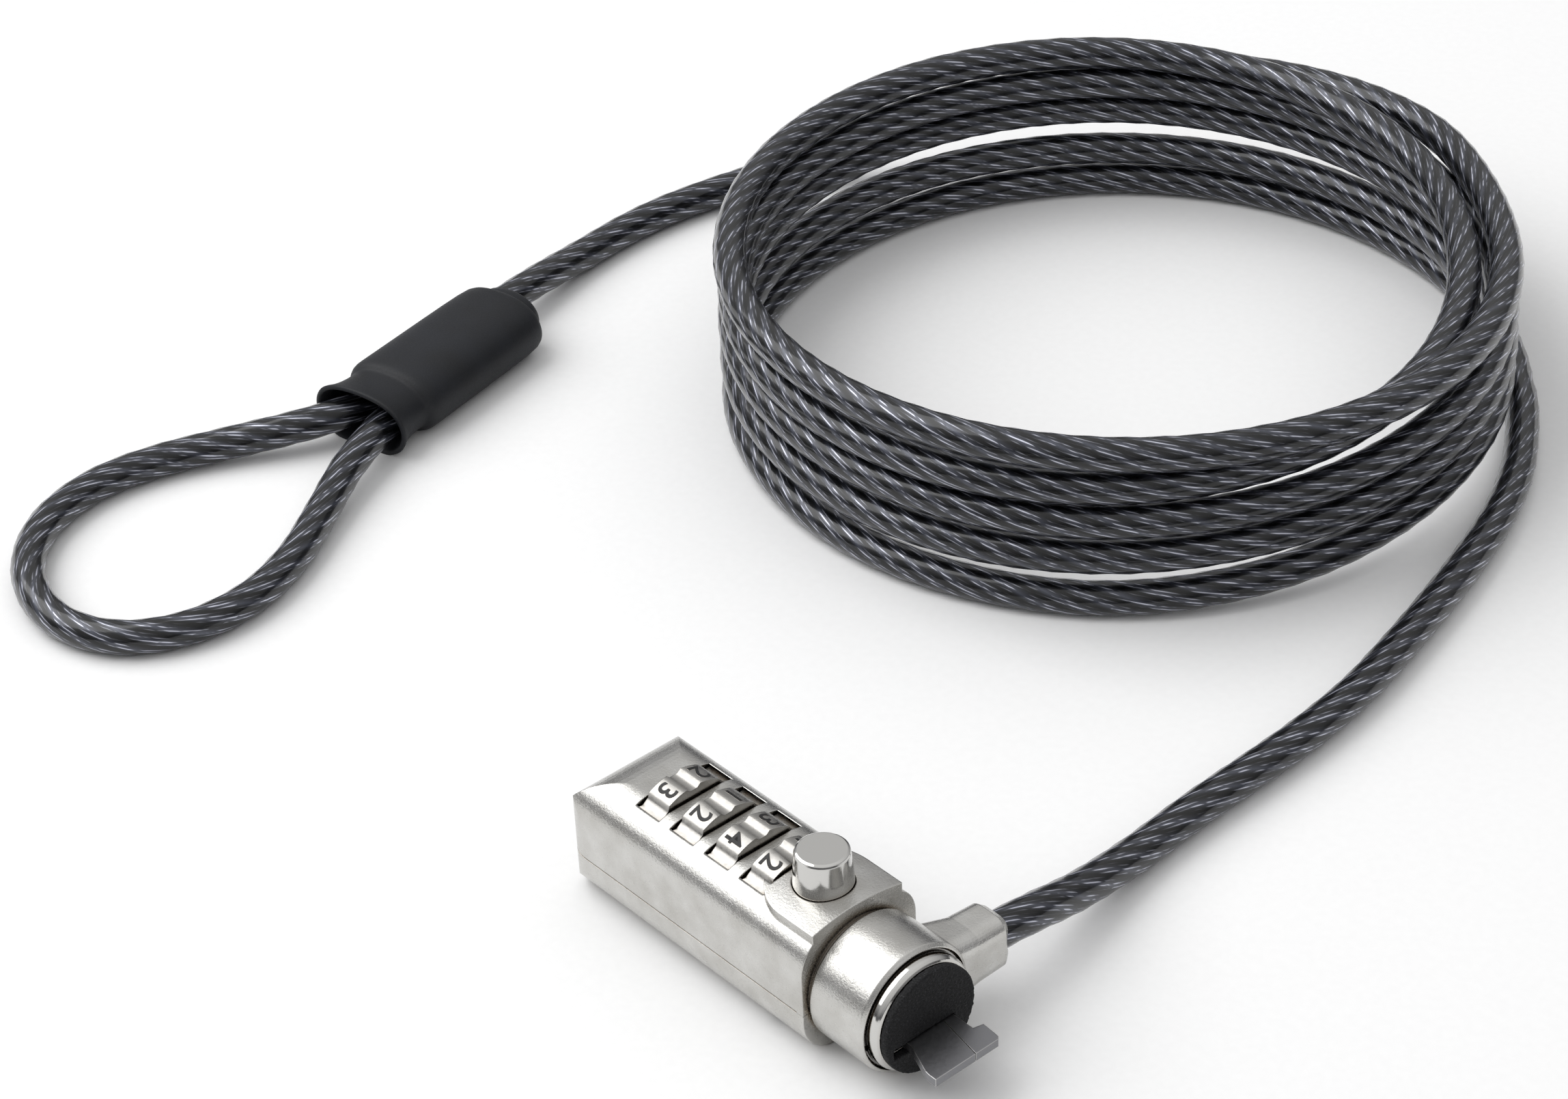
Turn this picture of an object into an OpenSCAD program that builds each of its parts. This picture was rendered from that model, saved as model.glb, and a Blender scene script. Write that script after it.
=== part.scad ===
/* [Body] */
// Width of the lock body across its sides
body_w = 16; // [15.9:0.1:16.6]
// Height of the lock body from the surface to its top
body_h = 15.8; // [15.6:0.1:16.2]
// Corner radius of the body's cross-section
corner_r = 4.8; // [4.6:0.1:5]
// How far the body reaches behind the origin
body_rear = 20.4; // [19.8:0.1:21]
// How far the body reaches in front of the origin
body_front = 19.2; // [19.2:0.1:19.3]
// Height of the line where the two shells meet
parting_z = 6; // [5.5:0.1:6.4]
// Thickness of the cast walls
wall = 1.4; // [1.2:0.1:1.5]

/* [Dials] */
// Distance from one dial to the next
dial_pitch = 5.6; // [5.5:0.05:5.7]
// Radius over the digit faces of a dial
dial_r = 7.3; // [7.2:0.05:7.35]
// Width of a dial
dial_w = 3.4; // [3.2:0.1:3.5]
// Height of the dials' axis
dial_z = 9.9; // [9.8:0.05:10]
// Digits on each dial
digits = 10; // [8:1:12]

/* [Button and slide] */
// Radius of the button at its foot
button_r = 3.3; // [3.2:0.05:3.35]
// Height of the button's top above the surface
button_top = 20.8; // [20:0.1:22]
// How far the button is pressed
button_travel = 3.6; // [3:0.1:3.6]
// How far the slide plate draws back
slide_travel = 4; // [3.5:0.1:4]

/* [Collar and nose] */
// Height of the collar's axis
axis_z = 7.6; // [7.6:0.05:7.8]
// Outer radius of the swivel collar
collar_r = 7.55; // [7.4:0.05:7.6]
// Radius of the neck that the collar turns on
neck_r = 6; // [5.9:0.05:6]
// Running clearance between neck and collar
neck_gap = 0.05; // [0.03:0.01:0.08]
// Radius of the foam pad
pad_r = 6.25; // [6:0.05:6.3]
// End of the cable arm, from the lock's axis
arm_end = 14.2; // [13.5:0.1:15]

/* [Blade] */
// Thickness of the two steel blade plates
blade_t = 1; // [0.9:0.05:1]
// How far the blade stands out of the pad
blade_out = 5.8; // [5:0.1:6]

/* [Cable] */
// Diameter of the coated cable
cable_d = 4.4; // [4.2:0.1:4.5]
// Radius of the coil at the middle of its turns
coil_r = 50.5; // [48:0.5:52]
// Height of the coil's stack of turns
coil_h = 25; // [22:0.5:26]

/* [Hidden] */
$fn = 64;
eps = 0.01;

// Body and dials
body_len = body_rear + body_front;
dial_count = 4;
dial_x = [for (i = [0:dial_count - 1]) (i - (dial_count - 1) / 2) * dial_pitch];
dial_gap = 0.2;
dial_slot_w = dial_w + 0.5;
sleeve_r = 4.3;
journal_r = 3.4;
spindle_r = 1.9;
run = 0.06;
lug_h = 0.9;
lug_w = 1;

// Front end, from the body's front face to the tip of the blade
collar_x0 = body_front + 0.3;
collar_x1 = 27.6;
ring_x0 = 26.75;
ring_x1 = 27.35;
nose_x1 = 29;
pad_x1 = 30;
blade_x1 = pad_x1 + blade_out;
blade_z0 = 5.4;
barrel_x0 = 17.4;
flange_x1 = 18.6;
flange_r = 7;
groove_r = 5.55;
arm_x = 24.5;
pin_y = 8.3;

// Button, its cam slot and the pin that runs in it
button_x = 14;
boss_r = 6.2;
boss_top = 16.6;
boss_crown_r = 24;
pin_r = 0.6;
pin_x = 16;
pin_z = 9.3;
cap_z = 14.1;

// Ferrule and its sleeve, laid along the end of the tail
ferrule_end = [-114.6, 58.8];
ferrule_turn = -76.8;
ferrule_len = 31.4;
ferrule_z = 3.9;
pair_gap = 2.5;

// Routes of the cable's straight stretches
coil_centre = [-49, 107.2];
cable_r = cable_d / 2;
lead_route = [
  [24.5, 9.2, 7.6], [24.5, 14.2, 7.6], [24.4, 20, 6.8], [23.2, 28, 4.4], [21.6, 38, 2.5],
  [20.6, 48, 2.2], [20.2, 58, 2.2], [19.7, 68, 2.2], [18.4, 78, 2.2], [16.3, 88, 2.2],
  [13.9, 98, 2.2], [11.2, 107.5, 2.2], [7.8, 117, 2.2], [3.6, 125.5, 2.2], [-1.6, 133, 2.2]
];
tail_route = [
  [-82.5, 149.5, 17.5], [-91, 143, 14.5], [-99.5, 135.5, 11], [-107.5, 127, 7.5],
  [-114.5, 117.5, 4.6], [-119.5, 107.5, 2.8], [-122.3, 97, 2.2], [-122.8, 86.5, 2.2],
  [-121.4, 76, 2.4], [-119.4, 67.5, 3.3], [-117.6, 60.7, 3.9], [-116.4, 55.3, 3.9],
  [-114.4, 47, 3.9], [-112.3, 38, 3.9]
];
loop_route = [
  [-112.3, 38, 3.9], [-111.1, 32.7, 3.9], [-110.8, 27.4, 3.8], [-113, 21.2, 3.4],
  [-117, 13.8, 2.6], [-120.4, 5.5, 2.2],
  [-121.4, -3.5, 2.2], [-118.8, -12, 2.2], [-113.2, -18.4, 2.2], [-105.8, -22, 2.2],
  [-98, -22.4, 2.2], [-91.2, -18.9, 2.2], [-87.3, -11.8, 2.2], [-87.2, -3.2, 2.2],
  [-90.4, 5.2, 2.2], [-95.4, 13.2, 2.6], [-100.4, 21.2, 3.5], [-103.8, 28.4, 3.9],
  [-105.6, 33.5, 3.9], [-107.4, 39, 3.9], [-109.3, 47, 3.9], [-111.2, 55.3, 3.9]
];

// ---------- shared shapes ----------

// A disc or tube along +X from x0 to x1
module along_x(x0, x1, r, z = axis_z) {
  translate([x0, 0, z]) rotate([0, 90, 0]) cylinder(r = r, h = x1 - x0);
}

// Turns a profile drawn as [x, radius] about the lock's axis
module turned(z = axis_z) {
  translate([0, 0, z]) rotate([0, 90, 0]) rotate_extrude() mirror([1, -1]) children();
}

// A rectangle with round corners, centred sideways and standing on y = 0
module round_rect(w, h, r) {
  translate([-w / 2 + r, 0]) square([w - 2 * r, h]);
  translate([-w / 2, r]) square([w, h - 2 * r]);
  for (x = [-1, 1], y = [r, h - r]) translate([x * (w / 2 - r), y]) circle(r);
}

// A section drawn as [y, z], pulled along +X from x0 to x1
module bar(x0, x1) {
  translate([x0, 0, 0]) rotate([90, 0, 90]) linear_extrude(x1 - x0) children();
}

// Catmull-Rom points through a route, with n steps to each stretch
function spline(p, n) = [
  for (i = [0:len(p) - 2], k = [0:n - 1])
    let (a = p[max(i - 1, 0)], b = p[i], c = p[i + 1], d = p[min(i + 2, len(p) - 1)], t = k / n)
      (2 * b + (c - a) * t + (2 * a - 5 * b + 4 * c - d) * pow(t, 2)
        + (3 * b - a - 3 * c + d) * pow(t, 3)) / 2,
  p[len(p) - 1]
];
function unit(v) = v / norm(v);
function heading(p, i) = unit(p[min(i + 1, len(p) - 1)] - p[max(i - 1, 0)]);

// A tube of radius r swept along a route, with flat closed ends
module tube(route, r, sides = 8) {
  rings = [
    for (i = [0:len(route) - 1])
      let (t = heading(route, i), u = unit(cross([0, 0, 1], t)), w = cross(t, u))
        for (s = [0:sides - 1]) let (a = 360 * (s + 0.5) / sides)
          route[i] + r * (u * cos(a) + w * sin(a))
  ];
  last = (len(route) - 1) * sides;
  polyhedron(rings, concat(
    [[for (s = [0:sides - 1]) sides - 1 - s]],
    [[for (s = [0:sides - 1]) last + s]],
    [for (i = [0:len(route) - 2], s = [0:sides - 1])
      let (a = i * sides + s, b = i * sides + (s + 1) % sides) [a, b, b + sides, a + sides]]
  ));
}

// ---------- body ----------

// Inside of the rear wall
rear_wall_x = -15.5;

module body_outside() {
  rear_r = 4;
  crown_r = 7.5;
  intersection() {
    bar(-body_rear, body_front) round_rect(body_w, body_h, corner_r);
    linear_extrude(body_h + 1) hull() {
      for (y = [-1, 1]) translate([-body_rear + rear_r, y * (body_w / 2 - rear_r)]) circle(rear_r);
      translate([body_front - 1, -body_w / 2]) square([1, body_w]);
    }
    translate([0, body_w, 0]) rotate([90, 0, 0]) linear_extrude(2 * body_w) hull() {
      translate([-body_rear + crown_r, body_h - crown_r]) circle(crown_r);
      translate([-body_rear + 2, 2]) circle(2);
      translate([body_front - 1, 0]) square([1, body_h]);
    }
  }
}

module cavity() {
  bar(rear_wall_x, barrel_x0) translate([0, wall])
    round_rect(body_w - 2 * wall, body_h - 2 * wall - 0.4, corner_r - wall);
}

module dial_slots() {
  for (x = dial_x) along_x(x - dial_slot_w / 2, x + dial_slot_w / 2, dial_r + dial_gap, dial_z);
}

module front_bores() {
  along_x(barrel_x0 - eps, flange_x1 + 0.05, flange_r + 0.02);
  along_x(flange_x1, body_front + 1, neck_r);
}

screw_z = 1.4;
reset_x = -13.8;
reset_r = 1.4;
screw_places = [for (p = [[-13.8, 4.2], [12.6, 5]], s = [-1, 1]) [p[0], s * p[1]]];

module screw_columns(z0, z1) {
  for (p = screw_places) translate([p[0], p[1], z0]) cylinder(r = 1.5, h = z1 - z0);
}

module screw_holes() {
  for (p = screw_places) translate([p[0], p[1], 0]) {
    cylinder(r = 0.7, h = 10);
    translate([0, 0, -1]) cylinder(r = 1.2, h = 1 + screw_z + 0.8);
  }
}

// The raised plateau about the button, slightly crowned
module boss() {
  intersection() {
    union() {
      translate([button_x, 0, 8]) cylinder(r = boss_r, h = 12);
      translate([button_x, -boss_r, 8]) cube([body_front - button_x, 2 * boss_r, 12]);
    }
    along_x(button_x - boss_r, body_front, boss_crown_r, boss_top - boss_crown_r);
  }
}

// Shadow line where the two shells meet
module parting_groove() {
  deep = 0.2;
  in_r = 3.8;
  translate([0, 0, parting_z - eps]) linear_extrude(0.15) difference() {
    translate([-body_rear - 1, -body_w]) square([body_len, 2 * body_w]);
    hull() {
      for (y = [-1, 1])
        translate([-body_rear + deep + in_r, y * (body_w / 2 - deep - in_r)]) circle(in_r);
      translate([body_front - 1, -body_w / 2 + deep]) square([1, body_w - 2 * deep]);
    }
  }
}

module upper_shell() color("gainsboro") {
  difference() {
    union() {
      difference() {
        union() {
          body_outside();
          boss();
        }
        cavity();
      }
      intersection() {
        screw_columns(parting_z, body_h - wall);
        body_outside();
      }
    }
    translate([-body_rear - 1, -body_w, -1]) cube([body_len + 2, 2 * body_w, parting_z + 1]);
    dial_slots();
    front_bores();
    screw_holes();
    translate([button_x, 0, parting_z]) cylinder(r = button_r + 0.08, h = 20);
    parting_groove();
  }
}

module lower_shell() color("gainsboro") {
  difference() {
    union() {
      difference() {
        body_outside();
        cavity();
      }
      intersection() {
        screw_columns(wall / 2, parting_z);
        body_outside();
      }
    }
    translate([-body_rear - 1, -body_w, parting_z]) cube([body_len + 2, 2 * body_w, body_h + 4]);
    dial_slots();
    front_bores();
    screw_holes();
    translate([reset_x, 0, -1]) cylinder(r = reset_r + 0.1, h = 4);
  }
}

// Cradle with a web on each side of every dial, whose bores carry the code sleeves
module dial_frame() color("silver") {
  web_w = dial_pitch - dial_slot_w;
  foot_z = wall + 0.1;
  difference() {
    union() {
      for (i = [0:dial_count]) {
        x = (i - dial_count / 2) * dial_pitch;
        bar(x - web_w / 2, i < dial_count ? x + web_w / 2 : button_x - 3.1)
          translate([0, foot_z]) round_rect(9.2, 12.4, 3);
      }
      for (y = [-1, 1])
        translate([-2 * dial_pitch - web_w / 2, y * 2.9 - 0.4, foot_z])
          cube([4 * dial_pitch + web_w / 2 - 0.5, 0.8, 0.7]);
    }
    along_x(-20, 20, journal_r + run, dial_z);
    translate([-20, -2.5, 0]) cube([40, 1.2, leaf_z + 0.4]);
    translate([button_x, 0, 4]) cylinder(r = button_r + 0.15, h = 20);
  }
}

leaf_z = wall + 0.15;

// Leaf with a finger under each dial, whose rounded tip clicks into its grooves
module detent_leaf() color("lightsteelblue") {
  translate([-2 * dial_pitch, -2.4, leaf_z]) cube([4 * dial_pitch - 0.4, 1, 0.3]);
  for (x = dial_x) {
    translate([x - 1, -2.4, leaf_z]) cube([2, 3.2, 0.3]);
    intersection() {
      along_x(x - 0.8, x + 0.8, 0.5, leaf_z + 0.45);
      translate([x - 1, -1, leaf_z + 0.1]) cube([2, 2, 2]);
    }
  }
}

// ---------- dials ----------

module dial_ring(i) color("silver") {
  groove_floor = 1;
  groove_mouth = 2.5;
  groove_depth = 0.45;
  above = 0.2;
  translate([dial_x[i] - dial_w / 2, 0, dial_z]) rotate([90, 0, 90]) linear_extrude(dial_w)
    difference() {
      circle(dial_r);
      circle(sleeve_r);
      for (k = [0:digits - 1]) rotate(90 + k * 360 / digits) polygon([
        [dial_r - groove_depth, -groove_floor / 2], [dial_r + above, -groove_mouth / 2],
        [dial_r + above, groove_mouth / 2], [dial_r - groove_depth, groove_floor / 2]
      ]);
    }
}

module code_sleeve(i) color("goldenrod") {
  half = dial_w / 2;
  rear = half + 0.75;
  front = half + (i < dial_count - 1 ? 0.75 : 0.45);
  difference() {
    turned(dial_z) translate([dial_x[i], 0]) polygon([
      [-rear, spindle_r + run], [-rear, journal_r], [-half, journal_r], [-half, sleeve_r],
      [half, sleeve_r], [half, journal_r], [front, journal_r], [front, spindle_r + run]
    ]);
    for (a = [0, 180]) translate([dial_x[i] - 5, 0, dial_z]) rotate([a, 0, 0])
      translate([0, -lug_w / 2 - 0.15, -spindle_r - lug_h - 0.15])
        cube([10, lug_w + 0.3, spindle_r + lug_h]);
  }
}

module dial_ring_1() dial_ring(0);
module dial_ring_2() dial_ring(1);
module dial_ring_3() dial_ring(2);
module dial_ring_4() dial_ring(3);
module code_sleeve_1() code_sleeve(0);
module code_sleeve_2() code_sleeve(1);
module code_sleeve_3() code_sleeve(2);
module code_sleeve_4() code_sleeve(3);

// ---------- mechanism ----------

spindle_x0 = -11.2;
spindle_x1 = 14.6;
spring_bore_r = 1.2;
spring_bore = 9;

// Hollow rod with one lug in front of each code sleeve
module spindle() color("silver") {
  difference() {
    along_x(spindle_x0, spindle_x1, spindle_r, dial_z);
    along_x(spindle_x0 - 1, spindle_x0 + spring_bore, spring_bore_r, dial_z);
  }
  for (x = dial_x) translate([x + dial_pitch / 2 - 0.25, -lug_w / 2, dial_z - spindle_r - lug_h])
    cube([0.5, lug_w, lug_h + 0.6]);
}

module return_spring() color("silver") {
  turns = 9;
  steps = 12;
  x0 = rear_wall_x + 0.35;
  x1 = spindle_x0 + spring_bore - 0.3;
  coil = [
    for (k = [0:turns * steps]) let (a = 360 * k / steps)
      [x0 + (x1 - x0) * k / (turns * steps), 0.88 * cos(a), dial_z + 0.88 * sin(a)]
  ];
  tube(coil, 0.2, 6);
}

module spring_guide() color("silver") {
  along_x(rear_wall_x, rear_wall_x + 3, 0.6, dial_z);
  along_x(rear_wall_x, rear_wall_x + 0.15, 1.8, dial_z);
}

// Capped plunger whose two legs straddle the slide, each with a slanted slot
module button() color("white") {
  leg_y = 2.15;
  leg_t = 0.85;
  difference() {
    translate([button_x, 0, 0]) rotate_extrude() polygon([
      [0, cap_z], [button_r, cap_z], [button_r, 16.6], [button_r - 0.3, button_top - 0.4],
      [button_r - 0.4, button_top - 0.15], [button_r - 0.65, button_top], [0, button_top]
    ]);
    // Clears the end of the spindle as it draws back
    translate([button_x - 4, -2.05, cap_z - 1]) cube([2.35, 4.1, 2.35]);
  }
  for (s = [-1, 1]) difference() {
    union() {
      translate([button_x - 3, s * (leg_y + leg_t / 2) - leg_t / 2, pin_z - 1.4])
        cube([6, leg_t, cap_z - pin_z + 1.2]);
      intersection() {
        translate([button_x - 3, s * (leg_y + leg_t / 2) - leg_t / 2, pin_z])
          cube([6, leg_t, cap_z - pin_z + 0.5]);
        translate([button_x, 0, pin_z]) cylinder(r = button_r, h = cap_z - pin_z + 0.5);
      }
    }
    translate([0, s * (leg_y + leg_t / 2) + leg_t, 0]) rotate([90, 0, 0])
      linear_extrude(2 * leg_t) cam_slot();
  }
}

module cam_slot() {
  hull() for (t = [0, 1])
    translate([pin_x - t * slide_travel, pin_z + t * button_travel]) circle(pin_r + 0.06);
}

module cam_pin() color("silver") {
  translate([pin_x, 3.1, pin_z]) rotate([90, 0, 0]) cylinder(r = pin_r, h = 6.2);
}

bar_half = 1.9;
bar_x0 = 14.95;
web_x0 = 20.6;
web_x1 = 22.5;

// Carries the spindle's push forward to the slide plate
module cam_slide() color("silver") {
  difference() {
    union() {
      translate([spindle_x1, -0.9, dial_z - 1.5]) cube([1, 1.8, 2]);
      translate([bar_x0, -bar_half, 8.2]) cube([web_x1 - bar_x0, 2 * bar_half, 2.2]);
      translate([web_x0, -bar_half, 4.8]) cube([web_x1 - web_x0, 2 * bar_half, 3.6]);
    }
    translate([pin_x, 4, pin_z]) rotate([90, 0, 0]) cylinder(r = pin_r, h = 8);
    translate([web_x0 + 0.6, -bar_half - 1, blade_z0]) cube([5, 2 * bar_half + 2, blade_t]);
  }
}

module slide_plate() color("gray") {
  translate([0, 0, blade_z0]) linear_extrude(blade_t) polygon([
    [web_x0 + 0.6, -3.2], [pad_x1 + 0.4, -3.2], [pad_x1 + 4.2, -4.75], [pad_x1 + 4.9, -4.85],
    [blade_x1, -4.85], [blade_x1, 0.68], [pad_x1, 1.72], [web_x0 + 0.6, 1.72]
  ]);
}

module hook_plate() color("gray") {
  translate([0, 0, blade_z0]) linear_extrude(blade_t) polygon([
    [25.6, 1.8], [pad_x1, 1.8], [blade_x1, 0.76], [blade_x1, 3.9], [blade_x1 - 0.3, 4.2],
    [pad_x1 + 3.1, 4.4], [pad_x1 + 2.8, 3.2], [25.6, 3.2]
  ]);
}

// ---------- neck, nose and collar ----------

module blade_slot(x0, x1) {
  translate([x0, -5, blade_z0 - 0.1]) cube([x1 - x0, 8.2, blade_t + 0.2]);
}

module neck_barrel() color("silver") {
  bore_r = 4.5;
  difference() {
    turned() polygon([
      [barrel_x0, bore_r], [barrel_x0, flange_r], [flange_x1, flange_r], [flange_x1, neck_r],
      [ring_x0, neck_r], [ring_x0, groove_r], [ring_x1, groove_r], [ring_x1, neck_r],
      [28.4, neck_r], [28.4, 0], [26, 0], [26, bore_r]
    ]);
    blade_slot(25, 30);
  }
}

// Spring washer that keeps the collar from rattling
module wave_washer() color("silver") {
  turned() polygon([
    [body_front, neck_r + neck_gap], [body_front, 7], [body_front + 0.2, 7],
    [body_front + 0.2, neck_r + neck_gap]
  ]);
}

module retaining_ring() color("silver") {
  split = 192;
  difference() {
    turned() polygon([
      [ring_x0 + 0.08, groove_r + 0.05], [ring_x0 + 0.08, 6.95], [ring_x1 - 0.15, 7],
      [ring_x1 - 0.02, 6.85], [ring_x1 - 0.02, groove_r + 0.05]
    ]);
    translate([ring_x0 - 1, 0, axis_z]) rotate([split, 0, 0]) translate([0, 4, -0.4])
      cube([3, 5, 0.8]);
  }
}

module nose_ring() color("white") {
  difference() {
    turned() polygon([
      [27.4, neck_r], [27.4, 6.55], [27.6, 6.7], [28.35, 6.7], [28.6, 6.62], [28.85, 6.45],
      [nose_x1, 6.2], [nose_x1, 0], [28.4, 0], [28.4, neck_r]
    ]);
    blade_slot(28, 30);
  }
}

module foam_pad() color("black") {
  difference() {
    turned() polygon([
      [nose_x1, 0], [nose_x1, pad_r - 0.1], [nose_x1 + 0.4, pad_r], [pad_x1 - 0.35, pad_r - 0.12],
      [pad_x1 - 0.12, pad_r - 0.4], [pad_x1, pad_r - 0.9], [pad_x1, 0]
    ]);
    blade_slot(28, 31);
  }
}

arm_sections = [[20.4, 27.3, 8.2], [21.4, 27.2, 7], [21.6, 27.2, 6.8]];

module swivel_collar() color("gainsboro") {
  arm_r = 1.8;
  rim = 0.4;
  difference() {
    union() {
      turned() polygon([
        [collar_x0, neck_r + neck_gap], [collar_x0, collar_r - rim], [collar_x0 + rim, collar_r],
        [collar_x1 - rim, collar_r], [collar_x1, collar_r - rim], [collar_x1, neck_r + neck_gap]
      ]);
      hull() {
        arm_slice(0, 5.6, 0.4, arm_r);
        arm_slice(1, 9.4, 0.4, arm_r);
      }
      hull() {
        arm_slice(1, 9.4, 0.4, arm_r);
        arm_slice(2, arm_end - 1, 0.2, arm_r);
        arm_slice(2, arm_end - 0.2, 0.2, arm_r, 0.6);
      }
    }
    along_x(collar_x0 - 1, collar_x1 + 1, neck_r + neck_gap);
    along_x(ring_x0 - 0.05, collar_x1 + 1, 7.1);
    translate([arm_x, 7.4, axis_z]) rotate([-90, 0, 0]) cylinder(r = cable_r + 0.2, h = 10);
    translate([arm_x, pin_y, 0]) cylinder(r = 0.7, h = axis_z + 3.3);
  }
}

// One rounded cross-section of the cable arm
module arm_slice(i, y, t, r, inset = 0) {
  s = arm_sections[i];
  w = s[1] - s[0] - 2 * inset;
  h = s[2] - 2 * inset;
  translate([(s[0] + s[1]) / 2, y + t, axis_z - h / 2]) rotate([90, 0, 0])
    linear_extrude(t) round_rect(w, h, r - inset, $fn = 32);
}

module cable_end_plug() color("silver") {
  translate([arm_x, 7.4, axis_z]) difference() {
    rotate([-90, 0, 0]) cylinder(r = cable_r + 0.2, h = 1.8);
    translate([0, pin_y - 7.4, -5]) cylinder(r = 0.7, h = 10);
  }
}

module anchor_pin() color("silver") {
  translate([arm_x, pin_y, axis_z - 3.3]) cylinder(r = 0.7, h = 6.6);
}

// ---------- cable ----------

module cable_lead() color("dimgray") tube(spline(lead_route, 2), cable_r);
module cable_tail() color("dimgray") tube(spline(tail_route, 2), cable_r);
module cable_loop() color("dimgray") tube(spline(loop_route, 2), cable_r);

module cable_coil() color("dimgray") {
  half = 4.8;
  round_r = 2.2;
  translate([coil_centre[0], coil_centre[1], 0]) rotate_extrude($fn = 96)
    translate([coil_r + 0.2, 0]) round_rect(2 * half, coil_h, round_r);
}

// Lays a shape drawn along +X from the ferrule's cable end on its place
module at_ferrule() {
  translate([ferrule_end[0], ferrule_end[1], ferrule_z]) rotate([0, 0, ferrule_turn]) children();
}

module oval(w, h) {
  square([w - h, h], center = true);
  for (s = [-1, 1]) translate([s * (w - h) / 2, 0]) circle(h / 2);
}

// Double-barrel crimp that grips both runs of the cable
module crimp_ferrule() color("silver") {
  at_ferrule() difference() {
    translate([3, 0, 0]) rotate([90, 0, 90]) linear_extrude(18) oval(12, 6.4);
    for (s = [-1, 1]) translate([2, s * pair_gap, 0]) rotate([0, 90, 0])
      cylinder(r = cable_r, h = 21);
  }
}

// Skin through oval sections given as [x, width, height]
module oval_loft(sections, sides = 32) {
  rings = [
    for (c = sections, s = [0:sides - 1])
      let (a = 360 * (s + 0.5) / sides)
        [c[0], sign(cos(a)) * (c[1] - c[2]) / 2 + c[2] / 2 * cos(a), c[2] / 2 * sin(a)]
  ];
  last = (len(sections) - 1) * sides;
  polyhedron(rings, concat(
    [[for (s = [0:sides - 1]) s]],
    [[for (s = [0:sides - 1]) last + sides - 1 - s]],
    [for (i = [0:len(sections) - 2], s = [0:sides - 1])
      let (a = i * sides + s, b = i * sides + (s + 1) % sides) [a, a + sides, b + sides, b]]
  ));
}

// Necked at the tail, waisted, and flared to a thin mouth at the loop
module ferrule_sleeve() color("black") {
  at_ferrule() difference() {
    oval_loft([
      [0, 8.6, 6.2], [1.2, 9.4, 6.8], [1.4, 12.2, 7], [2.3, 13.2, 7.6], [23, 13.4, 7.7],
      [25.5, 12.8, 7.3], [ferrule_len, 13.8, 7.7]
    ]);
    translate([3, 0, 0]) rotate([90, 0, 90]) linear_extrude(40) oval(12, 6.4);
    translate([-1, -pair_gap, 0]) rotate([0, 90, 0]) cylinder(r = cable_r, h = 5);
  }
}

// ---------- fasteners ----------

module shell_screws() color("silver") {
  for (p = screw_places) translate([p[0], p[1], screw_z]) difference() {
    union() {
      cylinder(r = 1.1, h = 0.8);
      cylinder(r = 0.7, h = 8.6);
    }
    translate([-1, -0.2, -0.5]) cube([2, 0.4, 0.9]);
    translate([-0.2, -1, -0.5]) cube([0.4, 2, 0.9]);
  }
}

// Slotted cam in the underside that opens the code for setting
module reset_screw() color("silver") {
  translate([reset_x, 0, 0.25]) difference() {
    union() {
      cylinder(r = reset_r, h = 1.3);
      translate([0, 0, 1.2]) cylinder(r = reset_r + 0.25, h = 0.4);
      cylinder(r = 0.9, h = 4);
    }
    translate([-2, -0.25, -0.5]) cube([4, 0.5, 1]);
  }
}

upper_shell();
lower_shell();
dial_frame();
detent_leaf();
dial_ring_1();
dial_ring_2();
dial_ring_3();
dial_ring_4();
code_sleeve_1();
code_sleeve_2();
code_sleeve_3();
code_sleeve_4();
spindle();
return_spring();
spring_guide();
button();
cam_pin();
cam_slide();
slide_plate();
hook_plate();
neck_barrel();
wave_washer();
retaining_ring();
nose_ring();
foam_pad();
shell_screws();
reset_screw();
swivel_collar();
cable_end_plug();
anchor_pin();
cable_lead();
cable_coil();
cable_tail();
cable_loop();
crimp_ferrule();
ferrule_sleeve();
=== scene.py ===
"""A combination laptop lock on its coiled steel cable, built up piece by piece in order of assembly."""
import math

import bpy
from mathutils import Matrix, Vector


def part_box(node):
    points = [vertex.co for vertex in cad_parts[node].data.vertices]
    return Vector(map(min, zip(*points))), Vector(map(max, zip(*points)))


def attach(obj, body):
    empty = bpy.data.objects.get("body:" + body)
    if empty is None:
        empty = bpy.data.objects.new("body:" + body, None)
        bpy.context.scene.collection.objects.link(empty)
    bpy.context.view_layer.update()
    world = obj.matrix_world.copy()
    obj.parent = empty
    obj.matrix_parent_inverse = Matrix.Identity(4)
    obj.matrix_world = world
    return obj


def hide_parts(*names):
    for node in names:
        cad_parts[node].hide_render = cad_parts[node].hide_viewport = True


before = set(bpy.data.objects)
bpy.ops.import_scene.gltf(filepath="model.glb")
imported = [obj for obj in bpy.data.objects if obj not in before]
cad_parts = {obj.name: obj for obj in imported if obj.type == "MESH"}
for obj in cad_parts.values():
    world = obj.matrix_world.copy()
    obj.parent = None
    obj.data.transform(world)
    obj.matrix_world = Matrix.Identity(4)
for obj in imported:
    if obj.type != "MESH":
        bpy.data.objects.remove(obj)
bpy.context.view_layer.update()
MM = 0.001

# ---------- where it is seen from ----------
# A long lens looks down on the lock's button side, with the blade nearest and the loop to the left.
# The camera leans a little, so that upright edges tip to the left.

azimuth = math.radians(50.2)
elevation = math.radians(35)
lean = math.radians(-2.8)
looks_at = Vector((-51.7, 51.6, 0)) * MM
stands_off = 482.8 * MM

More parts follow.
